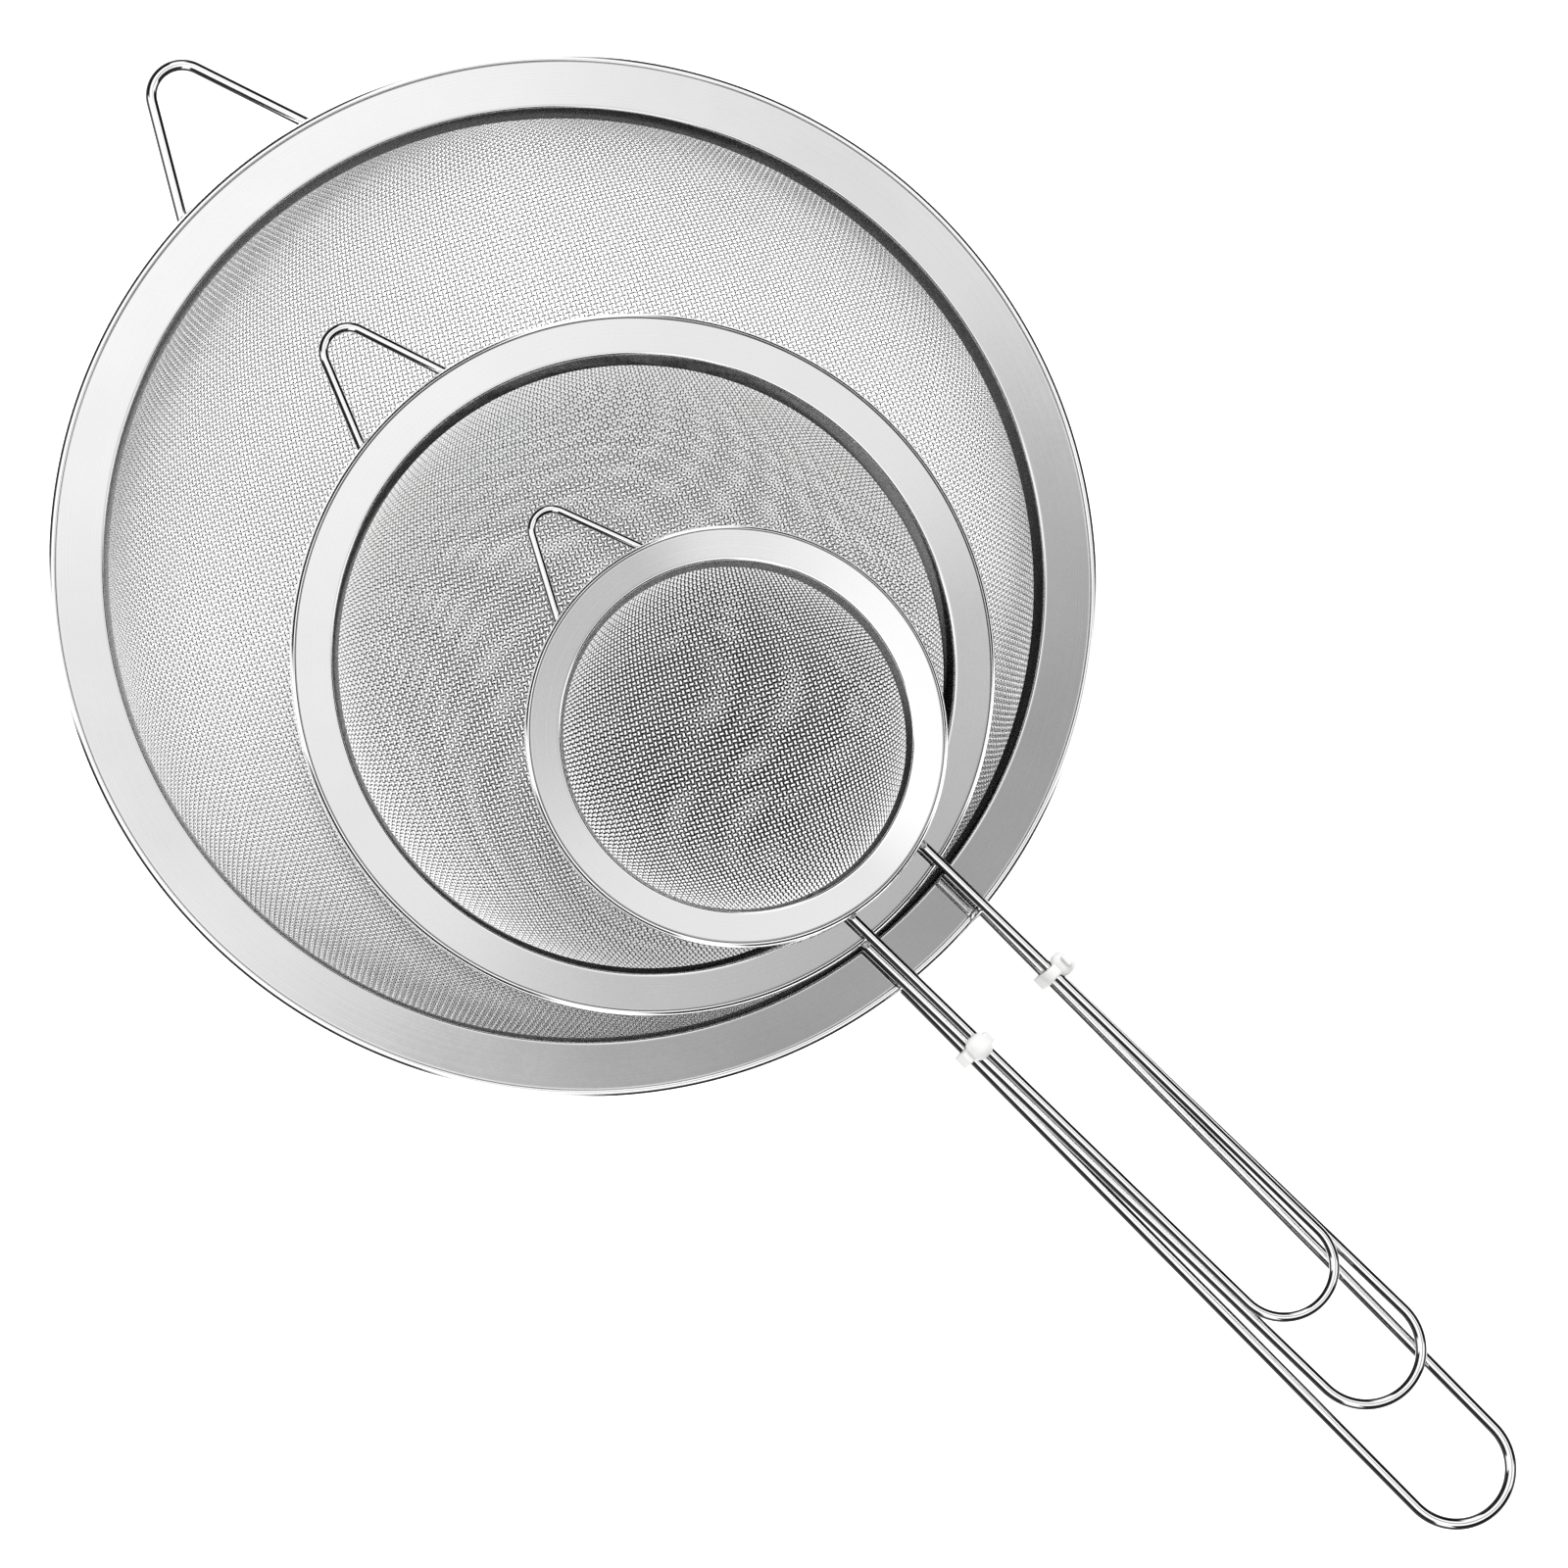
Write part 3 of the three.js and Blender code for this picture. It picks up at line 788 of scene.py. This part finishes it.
def weave(bowl, wire, first_wire, last_wire, crossways):
    """Wires first..last of one family: each is a row of crossings, over and under in turn."""
    pitch = CLOTH_PITCH * MM
    lines, u, v, parity = [], [], [], []
    for number in range(first_wire, last_wire):
        offset = (number + 0.5) * pitch
        half = bowl.reach**2 - offset**2
        count = int(math.sqrt(max(half, 0)) / pitch - 0.5)
        if count < 1:
            continue
        steps = np.arange(-count - 1, count + 1)
        lines.append(len(steps))
        u.append((steps + 0.5) * pitch)
        v.append(np.full(len(steps), offset))
        parity.append((steps + number) % 2 * 2 - 1)
    u, v, parity = (np.concatenate(a) for a in (u, v, parity))
    if crossways:
        u, v, parity = v, u, -parity
    wander = CLOTH_WANDER * MM
    u_drift = wander * np.sin(v / (9 * MM) + 2 * np.sin(u / (31 * MM)))
    v_drift = wander * np.sin(u / (11 * MM) + 2 * np.cos(v / (27 * MM)))
    u, v = u + u_drift, v + v_drift
    overshoot = np.hypot(u, v) / (bowl.reach * 0.9995)
    u, v = u / np.maximum(overshoot, 1), v / np.maximum(overshoot, 1)
    middle, normal = bowl.at(u, v)
    starts = np.concatenate([[0], np.cumsum(lines)])
    tangent = np.empty_like(middle)
    for a, b in zip(starts[:-1], starts[1:]):
        tangent[a:b] = np.gradient(middle[a:b], axis=0)
    tangent = unit(tangent)
    side = unit(np.cross(tangent, normal))
    centre = middle + normal * (parity * CLOTH_CRIMP * MM)[:, None]
    corners = WOVEN_SIDES
    angle = (np.arange(corners) + 0.5) * 2 * np.pi / corners
    points = (centre[:, None] + rings(side, normal, angle) * wire).reshape(-1, 3)
    has_next = np.ones(len(centre), bool)
    has_next[starts[1:] - 1] = False
    row = np.flatnonzero(has_next)[:, None] * corners
    k = np.arange(corners)[None, :]
    following = (k + 1) % corners
    ahead = row + corners
    quads = np.stack([row + k, ahead + k, ahead + following, row + following], -1).reshape(-1, 4)
    heads = starts[:-1, None] * corners + k
    tails = (starts[1:, None] - 1) * corners + k[:, ::-1]
    crest = np.repeat((parity + 1) / 2, corners)
    return points, np.concatenate([quads, heads, tails]), crest


def add_cloth(s):
    MATERIALS[f"{s.size}_cloth"] = cloth_steel(f"{s.size}_woven_wire", **CLOTH_LOOKS[s.size])
    bowl = Bowl(s)
    wires = int(bowl.reach / (CLOTH_PITCH * MM)) - 1
    cuts = np.round(wires * np.array(s.cloth_cuts)).astype(int)
    for crossways, family in ((False, "warp"), (True, "weft")):
        for part, (start, end) in enumerate(zip(cuts[:-1], cuts[1:])):
            points, quads, crest = weave(bowl, s.cloth_wire, start, end, crossways)
            name = f"cloth_{family}_{part + 1}"
            mesh = build_mesh(f"{s.size}_{name}", points, quads)
            store_crest(mesh, crest)
            stands_for = "mesh_bowl" if name == "cloth_warp_1" else None
            add_part(s, name, f"{s.size}_cloth", mesh, stands_for)


# ---- Handle, rest hook and their welds ----

def handle_line(s):
    """The handle's middle line about the strainer's axis: two long legs and a round bend."""
    bend_x = s.handle_high[0] - s.wire - s.half_grip
    root_x = s.handle_low[0]
    leg = np.linspace(root_x, bend_x, LEG_STEPS, endpoint=False)
    bend = arc((bend_x, 0), s.half_grip, math.pi / 2, -math.pi / 2, 48)
    x = np.concatenate([leg, bend[:, 0], leg[::-1]])
    sides = np.full(LEG_STEPS, s.half_grip)
    across = np.concatenate([sides, bend[:, 1], -sides])
    return s.leg_point(x, across) - s.origin


def hook_line(s):
    """The rest hook's middle line: a narrow V with a round tip, opposite the handle."""
    foot = np.array([math.sqrt(s.rim**2 - s.hook_half**2), s.hook_half])
    middle = np.array([s.hook_reach - s.hook_bend, 0.0])
    to_foot = foot - middle
    touch = math.atan2(to_foot[1], to_foot[0]) - math.acos(s.hook_bend / np.linalg.norm(to_foot))
    bend = arc(middle, s.hook_bend, touch, -touch, 40)
    direction = unit(bend[0] - foot)
    layers = s.sheet + (CLOTH_THICKNESS + 2 * TRAP_GAP + CLAMP_THICKNESS + REST_GAP) * MM
    depth = min(-s.hook_z - s.hook_wire, s.lip_depth)
    inward = s.rim - s.behind_lip(layers, depth)
    root = foot - direction * inward / direction[0]
    leg = root + (bend[0] - root) * np.linspace(0, 1, 24)[:-1, None]
    outline = np.concatenate([leg, bend, (leg * (1, -1))[::-1]])
    cos, sin = math.cos(s.hook_angle), math.sin(s.hook_angle)
    x = outline[:, 0] * cos - outline[:, 1] * sin
    y = outline[:, 0] * sin + outline[:, 1] * cos
    return np.stack([x, y, np.full(len(x), s.hook_z)], 1)


def blob(middle, along_wire, sizes, seed):
    """A small uneven nugget of weld metal."""
    rows, columns = 12, 20
    polar = np.linspace(0, np.pi, rows + 2)[1:-1]
    angle = np.linspace(0, 2 * np.pi, columns, endpoint=False)
    x = np.outer(np.sin(polar), np.cos(angle))
    y = np.outer(np.sin(polar), np.sin(angle))
    z = np.outer(np.cos(polar), np.ones(columns))
    ring = np.stack([x, y, z], -1).reshape(-1, 3)
    ball = np.concatenate([ring, [[0, 0, 1], [0, 0, -1]]])
    ball *= (1 + 0.10 * smooth_noise(ball, 0.45, seed))[:, None]
    forward = unit(np.array([along_wire[0], along_wire[1], 0.0]))
    basis = np.array([forward, np.cross((0, 0, 1), forward), (0, 0, 1)])
    points = middle + (ball * sizes) @ basis
    quads = grid_quads(rows, columns, False, True)
    top, low = rows * columns, rows * columns + 1
    j = np.arange(columns)
    following = (j + 1) % columns
    last = (rows - 1) * columns
    top_faces = np.stack([np.full(columns, top), j, following], 1)
    low_faces = np.stack([np.full(columns, low), last + following, last + j], 1)
    return points, quads, np.concatenate([top_faces, low_faces])


def weld_places(s, line):
    """Where a wire's two legs pass under the bead, and where they meet the clamp ring."""
    half = len(line) // 2
    places = []
    for leg in (line[:half], line[::-1][:half]):
        radius = np.hypot(leg[:, 0], leg[:, 1])
        direction = unit(leg[-1] - leg[0])
        at_bead = leg[np.argmin(np.abs(radius - (s.rim - s.bead)))]
        places.append((at_bead, direction, leg[0]))
    return places


def add_welds(s, lines):
    """Nuggets where each wire passes under the rolled bead and where it meets the clamp ring."""
    points, quads, triangles = [], [], []
    for line, wire in lines:
        for at_bead, direction, root in weld_places(s, line):
            under_bead = at_bead + (0, 0, wire * 0.9)
            at_clamp = root + direction * 0.2 * MM
            for middle, sizes in ((under_bead, BEAD_NUGGET), (at_clamp, CLAMP_NUGGET)):
                ball = blob(middle, direction, np.array(sizes) * MM, seed=len(points))
                first = sum(len(p) for p in points)
                points.append(ball[0])
                quads.append(ball[1] + first)
                triangles.append(ball[2] + first)
    groups = (np.concatenate(group) for group in (points, quads, triangles))
    mesh = build_mesh(f"{s.size}_welds", *groups)
    add_part(s, "weld_nuggets", "weld", mesh)


def add_wires(s):
    handle, hook = handle_line(s), hook_line(s)
    mesh = build_mesh(f"{s.size}_handle", *rod(handle, s.wire, sides=28))
    add_part(s, "handle_rod", "wire", mesh, "handle_wire")
    mesh = build_mesh(f"{s.size}_hook", *rod(hook, s.hook_wire, sides=24))
    add_part(s, "hook_rod", "wire", mesh, "rest_hook")
    add_welds(s, ((handle, s.wire), (hook, s.hook_wire)))


# ---- Cable ties ----

def hull_around(circles, spare):
    """Convex outline round circles given as ((y, z), radius), as evenly spaced points."""
    rounds = [arc(middle, radius + spare, 0, 2 * np.pi, 96)[:-1] for middle, radius in circles]
    points = np.concatenate(rounds)
    order = sorted(map(tuple, points))

    def chain(ordered):
        kept = []
        for p in ordered:
            while len(kept) > 1 and (
                (kept[-1][0] - kept[-2][0]) * (p[1] - kept[-2][1])
                - (kept[-1][1] - kept[-2][1]) * (p[0] - kept[-2][0])
                <= 0
            ):
                kept.pop()
            kept.append(p)
        return kept[:-1]

    outline = np.array(chain(order) + chain(order[::-1]))
    closed = np.concatenate([outline, outline[:1]])
    distance = np.concatenate([[0], np.cumsum(np.linalg.norm(np.diff(closed, axis=0), axis=1))])
    even = np.linspace(0, distance[-1], 160, endpoint=False)
    return np.stack([np.interp(even, distance, closed[:, k]) for k in (0, 1)], 1)


def rounded_box(sizes, rounding, steps):
    """Points and quads of a box whose edges and corners are well rounded."""
    points, quads = [], []
    half = sizes / 2
    core = half - rounding
    line = np.linspace(-1, 1, steps)
    for axis in range(3):
        for sign in (-1, 1):
            a, b = (axis + 1) % 3, (axis + 2) % 3
            grid_a, grid_b = np.meshgrid(line, line, indexing="ij")
            cube = np.zeros((steps**2, 3))
            cube[:, axis] = sign
            cube[:, a] = grid_a.ravel()
            cube[:, b] = grid_b.ravel()
            on_box = cube * half
            inner = np.clip(on_box, -core, core)
            faces = grid_quads(steps, steps, first=len(points) * steps**2)
            quads.append(faces if sign > 0 else faces[:, ::-1])
            points.append(inner + unit(on_box - inner + 1e-12 * cube) * rounding)
    points = np.concatenate(points)
    keys = np.round(points / (0.001 * MM)).astype(np.int64)
    _, first, place = np.unique(keys, axis=0, return_index=True, return_inverse=True)
    return points[first], place.ravel()[np.concatenate(quads)]


def pushed_out(points, outline):
    """(y, z) points, with any inside the anticlockwise convex outline moved out to its edge."""
    edges = np.roll(outline, -1, 0) - outline
    normals = unit(np.stack([edges[:, 1], -edges[:, 0]], 1))
    outside = np.einsum("pek,ek->pe", points[:, None] - outline[None], normals)
    nearest = outside.argmax(1)
    depth = np.minimum(outside.max(1), 0)
    return points - depth[:, None] * normals[nearest]


def add_tie_piece(name, origin, points, quads, stands_for=()):
    """One piece of a cable tie; the ties stay on the large strainer's handle."""
    mesh = build_mesh(name, points, quads)
    add_piece(name, mesh, "nylon", "large_strainer", origin, stands_for)


def add_tie_strap(name, tie_x, legs):
    """A strap round the three stacked legs, a little narrower where it is pulled over the top."""
    half_thickness = TIE_STRAP_THICKNESS * MM / 2
    half_width = TIE_STRAP_WIDTH * MM / 2
    middle = hull_around(legs, TIE_CLEARANCE * MM + half_thickness)
    path = np.concatenate([np.full((len(middle), 1), tie_x), middle], 1)
    centre = path.mean(0)
    corners = np.array([(-1, -1), (1, -1), (1, 1), (-1, 1)]) * (half_thickness, half_width)
    section = softened(corners, TIE_EDGE_ROUNDING * MM)
    points, quads = swept_loop(path - centre, section)
    over_top = np.clip(points[:, 2] / points[:, 2].max(), 0, 1) ** 2
    points[:, 0] *= 1 - TIE_WAIST * over_top
    add_tie_piece(f"{name}_strap", centre, points, quads, [name])


def add_tie_head(name, tie_x, legs, place, size):
    """The locking head, moulded to clear the wires it is pulled against."""
    points, quads = rounded_box(size, TIE_HEAD_ROUNDING * MM, 21)
    opening = hull_around(legs, TIE_CLEARANCE * MM)
    points[:, 1:] = pushed_out(points[:, 1:] + place, opening) - place
    add_tie_piece(f"{name}_head", (tie_x, *place), points, quads)


def add_tie_tail(name, tie_x, place, size):
    """The cut-off end of the strap where it leaves the head, toothed on one face."""
    points, quads = rounded_box(size, TIE_TAIL_ROUNDING * MM, 25)
    length, face = (2, 1) if size[2] > size[1] else (1, 2)
    ribs = np.maximum(np.sin(points[:, length] * 2 * np.pi / (TIE_TEETH_PITCH * MM)), 0)
    points[:, face] -= np.where(points[:, face] < 0, TIE_TEETH_HEIGHT * MM * ribs, 0)
    add_tie_piece(f"{name}_tail", (tie_x, *place), points, quads)


def add_tie(name, side, head_size, head, tail_size, tail):
    tie_low, tie_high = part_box(name)
    tie_x = (tie_low[0] + tie_high[0]) / 2
    legs = []
    for s in strainers:
        place = s.leg_point(np.array(tie_x), np.array(side * s.half_grip))
        legs.append(((place[1], place[2]), s.wire))
    top_wire = np.array(legs[-1][0])
    add_tie_strap(name, tie_x, legs)
    add_tie_head(name, tie_x, legs, top_wire + np.array(head) * MM, np.array(head_size) * MM)
    add_tie_tail(name, tie_x, top_wire + np.array(tail) * MM, np.array(tail_size) * MM)


# ---- The set ----

strainers = [Strainer(size, dims) for size, dims in STRAINERS.items()]
for strainer in strainers:
    add_rim(strainer)
for strainer in strainers:
    add_hem_wire(strainer)
    add_clamp_ring(strainer)
    add_cloth(strainer)
    add_wires(strainer)
for tie_name, tie in TIES.items():
    add_tie(tie_name, **tie)


# ---- Floor, light and camera ----

def add_floor():
    points = np.array([(-12, -12, 0), (12, -12, 0), (12, 12, 0), (-12, 12, 0)], float)
    mesh = build_mesh("studio_floor", points, np.array([[0, 1, 2, 3]]))
    floor = add_object("studio_floor", mesh)
    material, tree, shader, coordinates = new_material("pale_floor")
    clouds = noise(tree, coordinates, 3.0, 2.0)
    # Painted shadow: the floor glows less under the medium and small bowls.
    under_medium = painted_shade_column(tree, "medium", FLOOR_UNDER_BOWL)
    under_small = painted_shade_column(tree, "small", FLOOR_UNDER_BOWL)
    shade = times(tree, under_medium, under_small)
    feed(tree, shader, {
        "Base Color": mix_colours(tree, clouds, grey(0.93), grey(0.95)),
        "Roughness": 0.9,
        "Specular IOR Level": 0.1,
        "Emission Color": grey(1.0),
        "Emission Strength": times(tree, shade, FLOOR_GLOW),
    })
    mesh.materials.append(material)


def add_world():
    """A bright soft dome. Polished metal also sees four dark flags that stand round the set, and,
    in the small window overhead that the flat flanges mirror, two grey cards and two lamps."""
    world = bpy.data.worlds.new("soft_studio")
    bpy.context.scene.world = world
    world.use_nodes = True
    tree = world.node_tree
    direction = add_node(tree, "ShaderNodeTexCoord").outputs["Generated"]
    axes = add_node(tree, "ShaderNodeSeparateXYZ", {0: direction}).outputs
    x, y, z = axes["X"], axes["Y"], axes["Z"]

    cards, lamps = (
        math_node(tree, "ADD", *(spread(tree, x, *band, True) for band in bands))
        for bands in (CARDS, LAMPS)
    )
    tone = math_node(tree, "SUBTRACT", math_node(tree, "SUBTRACT", lamps, cards), FLANGE_SHADE)
    behind_front = spread(tree, y, 0.0, 1.0, *WINDOW_FRONT, True)
    window = times(tree, behind_front, spread(tree, y, 1.0, 0.0, *WINDOW_BACK, True))
    beside = spread(tree, math_node(tree, "ABSOLUTE", x), 1.0, 0.0, *WINDOW_SIDES, True)
    window = times(tree, window, beside)
    above = spread(tree, z, 0.0, 1.0, *WINDOW_BOTTOM, True)
    window = times(tree, window, above)
    overhead = math_node(tree, "ADD", SKY, times(tree, tone, window))

    xx, yy = times(tree, x, x), times(tree, y, y)
    level = math_node(tree, "MAXIMUM", math_node(tree, "ADD", xx, yy), 0.0001)
    product = times(tree, xx, yy)
    diagonal = math_node(tree, "DIVIDE", product, times(tree, level, level))
    beside_axes = spread(tree, diagonal, 1.0, 0.0, *FLAGS_SIDES, True)
    flags = times(tree, beside_axes, spread(tree, z, 1.0, 0.0, *FLAGS_TOP, True))
    open_share = spread(tree, flags, 1.0, DARK_BAND)
    reflected = times(tree, overhead, open_share)
    path = add_node(tree, "ShaderNodeLightPath").outputs
    lighting = mix_values(tree, path["Is Glossy Ray"], DOME_LIGHT, reflected)
    strength = mix_values(tree, path["Is Camera Ray"], lighting, BACKDROP)
    feed(tree, tree.nodes["Background"], {"Color": grey(1.0), "Strength": strength})


def add_softbox():
    light = bpy.data.lights.new("softbox", "AREA")
    light.shape = "DISK"
    light.size = SOFTBOX_SIZE
    light.energy = SOFTBOX_POWER
    box = add_object("softbox", light)
    box.location = SOFTBOX_PLACE
    aim = Vector(CAMERA_TARGET) - box.location
    box.rotation_euler = aim.to_track_quat("-Z", "Y").to_euler()
    box.visible_glossy = False


def add_camera():
    azimuth = math.radians(CAMERA_AZIMUTH)
    elevation = math.radians(CAMERA_ELEVATION)
    flat = math.cos(elevation)
    back = Vector((math.sin(azimuth) * flat, -math.cos(azimuth) * flat, math.sin(elevation)))
    level = Vector((0, 0, 1)).cross(back).normalized()
    upright = back.cross(level)
    roll = math.radians(CAMERA_ROLL)
    right = level * math.cos(roll) + upright * math.sin(roll)
    up = upright * math.cos(roll) - level * math.sin(roll)
    camera = add_object("camera", bpy.data.cameras.new("camera"))
    camera.data.lens = CAMERA_LENS
    camera.data.sensor_width = 36.0
    camera.data.clip_start = 0.05
    camera.data.clip_end = 60.0
    place = Matrix((right, up, back)).transposed().to_4x4()
    place.translation = Vector(CAMERA_TARGET) + back * CAMERA_DISTANCE
    camera.matrix_world = place
    bpy.context.scene.camera = camera


add_floor()
add_world()
add_softbox()
add_camera()
bpy.context.scene.view_settings.view_transform = "Standard"
bpy.context.scene.cycles.denoising_prefilter = "NONE"  # a prefilter would smear the 1 mm weave

bpy.context.view_layer.update()
